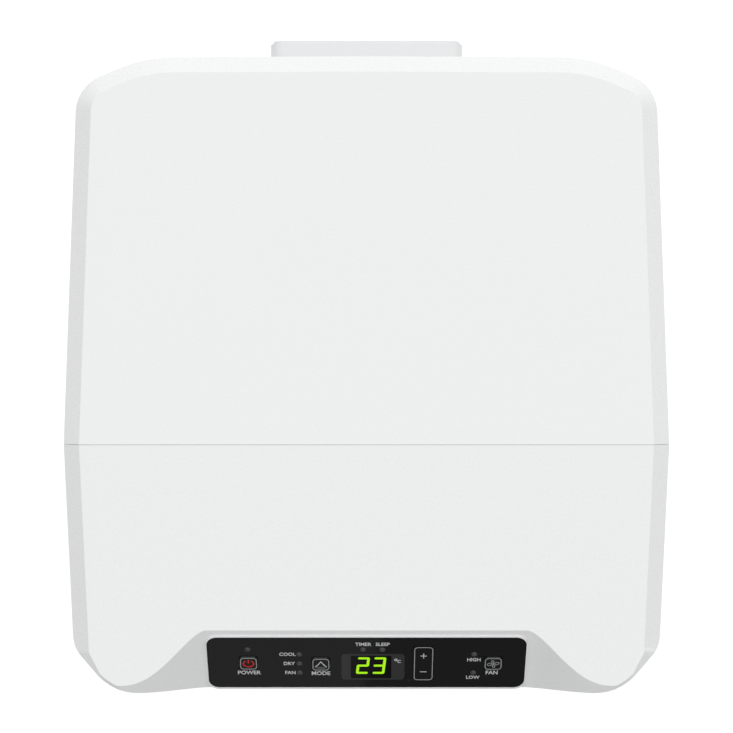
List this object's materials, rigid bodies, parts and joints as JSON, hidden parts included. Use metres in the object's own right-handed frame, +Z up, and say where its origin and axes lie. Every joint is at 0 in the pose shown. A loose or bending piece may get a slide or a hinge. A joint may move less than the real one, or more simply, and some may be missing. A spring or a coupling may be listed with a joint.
{
  "type": "portable air conditioner",
  "caption": "Upright cabinet on casters that cools a room: tilting louvres at the front, sloped control panel on top, and a box-shaped exhaust hose adapter at the rear.",
  "frame": {"origin": "on the floor, in the middle of the plan, hose adapter included", "axes": "+Z up, -Y towards the front with the air outlet, +X to the right seen from above with the front nearest"},
  "size_m": [0.367, 0.4393, 0.7],
  "materials": {
    "cover": "smooth glossy white",
    "pan": "satin light grey",
    "overlay": "high gloss black",
    "window": "tinted gloss",
    "lens": "unlit lens",
    "board": "solder mask",
    "dark_plastic": "matt dark",
    "mesh": "fine mesh",
    "rubber": "soft",
    "tyre": "hard tread",
    "steel": "brushed",
    "painted": "black paint",
    "copper": "drawn copper",
    "coil": "thin fins"
  },
  "bodies": {
    "cabinet": {"base_pan": "pan", "front_cover": "cover", "rear_cover": "cover", "carry_handles": "pan", "cabinet_screws": "steel", "cord_gland": "dark_plastic", "panel_frame": "cover", "control_overlay": "overlay", "display_window": "window", "display_module": "dark_plastic", "indicator_lenses": "lens", "display_board": "board", "tact_switches": "steel", "outlet_frame": "pan", "drip_tray": "pan", "evaporator_coil": "coil", "fan_housing": "pan", "evaporator_fan_motor": "steel", "condenser_coil": "coil", "condenser_scroll": "pan", "condenser_fan_motor": "steel", "exhaust_duct": "pan", "compressor": "painted", "compressor_grommets": "rubber", "discharge_pipe": "copper", "suction_pipe": "copper", "capillary_tube": "copper", "electrical_box": "pan", "main_board": "board", "run_capacitor": "steel", "splash_motor": "steel"},
    "power_key": {"power_key": "overlay"},
    "mode_key": {"mode_key": "overlay"},
    "fan_key": {"fan_key": "overlay"},
    "temperature_rocker": {"temperature_rocker": "overlay"},
    "louvre_lower": {"louvre_lower": "cover"},
    "louvre_middle": {"louvre_middle": "cover"},
    "louvre_upper": {"louvre_upper": "cover"},
    "louvre_link": {"louvre_link": "pan"},
    "vane_left": {"vane_left": "pan"},
    "vane_centre": {"vane_centre": "pan"},
    "vane_right": {"vane_right": "pan"},
    "vane_link": {"vane_link": "dark_plastic"},
    "evaporator_fan": {"evaporator_fan": "dark_plastic"},
    "condenser_fan": {"condenser_fan": "dark_plastic"},
    "splash_wheel": {"splash_wheel": "pan"},
    "hose_adapter": {"hose_adapter": "cover"},
    "drain_plug": {"drain_plug": "rubber"},
    "upper_grille": {"upper_grille": "cover", "upper_filter": "mesh"},
    "lower_grille": {"lower_grille": "cover", "lower_filter": "mesh"},
    "caster_fork_front_left": {"caster_fork_front_left": "dark_plastic"},
    "caster_wheel_front_left": {"caster_wheel_front_left": "tyre"},
    "caster_fork_front_right": {"caster_fork_front_right": "dark_plastic"},
    "caster_wheel_front_right": {"caster_wheel_front_right": "tyre"},
    "caster_fork_rear_left": {"caster_fork_rear_left": "dark_plastic"},
    "caster_wheel_rear_left": {"caster_wheel_rear_left": "tyre"},
    "caster_fork_rear_right": {"caster_fork_rear_right": "dark_plastic"},
    "caster_wheel_rear_right": {"caster_wheel_rear_right": "tyre"}
  },
  "joints": [
    {"name": "power_key_press", "type": "slide", "parent": "cabinet", "child": "power_key", "axis": [0, 0.5592, -0.829], "range_m": [0, 0.0008], "stiffness_N_per_m": 600},
    {"name": "mode_key_press", "type": "slide", "parent": "cabinet", "child": "mode_key", "axis": [0, 0.5592, -0.829], "range_m": [0, 0.0008], "stiffness_N_per_m": 600},
    {"name": "fan_key_press", "type": "slide", "parent": "cabinet", "child": "fan_key", "axis": [0, 0.5592, -0.829], "range_m": [0, 0.0008], "stiffness_N_per_m": 600},
    {"name": "temperature_rock", "type": "hinge", "parent": "cabinet", "child": "temperature_rocker", "pos_m": [0.0348, -0.20003, 0.67851], "axis": [1, 0, 0], "range_deg": [-3, 3], "stiffness_Nm_per_rad": 0.1},
    {"name": "louvre_middle_tilt", "type": "hinge", "parent": "cabinet", "child": "louvre_middle", "pos_m": [0, -0.2045, 0.598], "axis": [1, 0, 0], "range_deg": [-35, 35]},
    {"name": "louvre_lower_tilt", "type": "hinge", "parent": "cabinet", "child": "louvre_lower", "pos_m": [0, -0.2045, 0.574], "axis": [1, 0, 0], "range_deg": [-35, 35]},
    {"name": "louvre_upper_tilt", "type": "hinge", "parent": "cabinet", "child": "louvre_upper", "pos_m": [0, -0.2045, 0.622], "axis": [1, 0, 0], "range_deg": [-35, 35]},
    {"name": "louvre_link_pivot", "type": "hinge", "parent": "louvre_middle", "child": "louvre_link", "pos_m": [-0.06, -0.196, 0.598], "axis": [1, 0, 0], "range_deg": [-35, 35]},
    {"name": "vane_centre_turn", "type": "hinge", "parent": "cabinet", "child": "vane_centre", "pos_m": [0, -0.1675, 0.598], "axis": [0, 0, 1], "range_deg": [-30, 30]},
    {"name": "vane_left_turn", "type": "hinge", "parent": "cabinet", "child": "vane_left", "pos_m": [-0.058, -0.1675, 0.598], "axis": [0, 0, 1], "range_deg": [-30, 30]},
    {"name": "vane_right_turn", "type": "hinge", "parent": "cabinet", "child": "vane_right", "pos_m": [0.058, -0.1675, 0.598], "axis": [0, 0, 1], "range_deg": [-30, 30]},
    {"name": "vane_link_pivot", "type": "hinge", "parent": "vane_centre", "child": "vane_link", "pos_m": [0, -0.1565, 0.598], "axis": [0, 0, 1], "range_deg": [-30, 30]},
    {"name": "evaporator_fan_spin", "type": "hinge", "parent": "cabinet", "child": "evaporator_fan", "pos_m": [0, -0.02, 0.598], "axis": [1, 0, 0], "continuous": true},
    {"name": "condenser_fan_spin", "type": "hinge", "parent": "cabinet", "child": "condenser_fan", "pos_m": [-0.04, 0.08, 0.208], "axis": [0, 1, 0], "continuous": true},
    {"name": "splash_wheel_spin", "type": "hinge", "parent": "cabinet", "child": "splash_wheel", "pos_m": [0.098, 0.08, 0.084], "axis": [0, 1, 0], "continuous": true},
    {"name": "upper_grille_swing", "type": "hinge", "parent": "cabinet", "child": "upper_grille", "pos_m": [0, 0.1635, 0.5145], "axis": [-1, 0, 0], "range_deg": [0, 75]},
    {"name": "lower_grille_swing", "type": "hinge", "parent": "cabinet", "child": "lower_grille", "pos_m": [0, 0.1635, 0.1145], "axis": [-1, 0, 0], "range_deg": [0, 75]},
    {"name": "hose_adapter_slide", "type": "slide", "parent": "cabinet", "child": "hose_adapter", "axis": [0, 1, 0], "range_m": [0, 0.05]},
    {"name": "drain_plug_pull", "type": "slide", "parent": "cabinet", "child": "drain_plug", "axis": [0, 1, 0], "range_m": [0, 0.02]},
    {"name": "caster_front_left_swivel", "type": "hinge", "parent": "cabinet", "child": "caster_fork_front_left", "pos_m": [-0.132, -0.162, 0.055], "axis": [0, 0, 1], "continuous": true},
    {"name": "caster_front_left_roll", "type": "hinge", "parent": "caster_fork_front_left", "child": "caster_wheel_front_left", "pos_m": [-0.132, -0.148, 0.019], "axis": [1, 0, 0], "continuous": true},
    {"name": "caster_front_right_swivel", "type": "hinge", "parent": "cabinet", "child": "caster_fork_front_right", "pos_m": [0.132, -0.162, 0.055], "axis": [0, 0, 1], "continuous": true},
    {"name": "caster_front_right_roll", "type": "hinge", "parent": "caster_fork_front_right", "child": "caster_wheel_front_right", "pos_m": [0.132, -0.148, 0.019], "axis": [1, 0, 0], "continuous": true},
    {"name": "caster_rear_left_swivel", "type": "hinge", "parent": "cabinet", "child": "caster_fork_rear_left", "pos_m": [-0.132, 0.112, 0.055], "axis": [0, 0, 1], "continuous": true},
    {"name": "caster_rear_left_roll", "type": "hinge", "parent": "caster_fork_rear_left", "child": "caster_wheel_rear_left", "pos_m": [-0.132, 0.126, 0.019], "axis": [1, 0, 0], "continuous": true},
    {"name": "caster_rear_right_swivel", "type": "hinge", "parent": "cabinet", "child": "caster_fork_rear_right", "pos_m": [0.132, 0.112, 0.055], "axis": [0, 0, 1], "continuous": true},
    {"name": "caster_rear_right_roll", "type": "hinge", "parent": "caster_fork_rear_right", "child": "caster_wheel_rear_right", "pos_m": [0.132, 0.126, 0.019], "axis": [1, 0, 0], "continuous": true}
  ],
  "couplings": [
    {"joint": "louvre_lower_tilt", "follows": "louvre_middle_tilt", "ratio": 1},
    {"joint": "louvre_upper_tilt", "follows": "louvre_middle_tilt", "ratio": 1},
    {"joint": "louvre_link_pivot", "follows": "louvre_middle_tilt", "ratio": -1},
    {"joint": "vane_left_turn", "follows": "vane_centre_turn", "ratio": 1},
    {"joint": "vane_right_turn", "follows": "vane_centre_turn", "ratio": 1},
    {"joint": "vane_link_pivot", "follows": "vane_centre_turn", "ratio": -1}
  ]
}
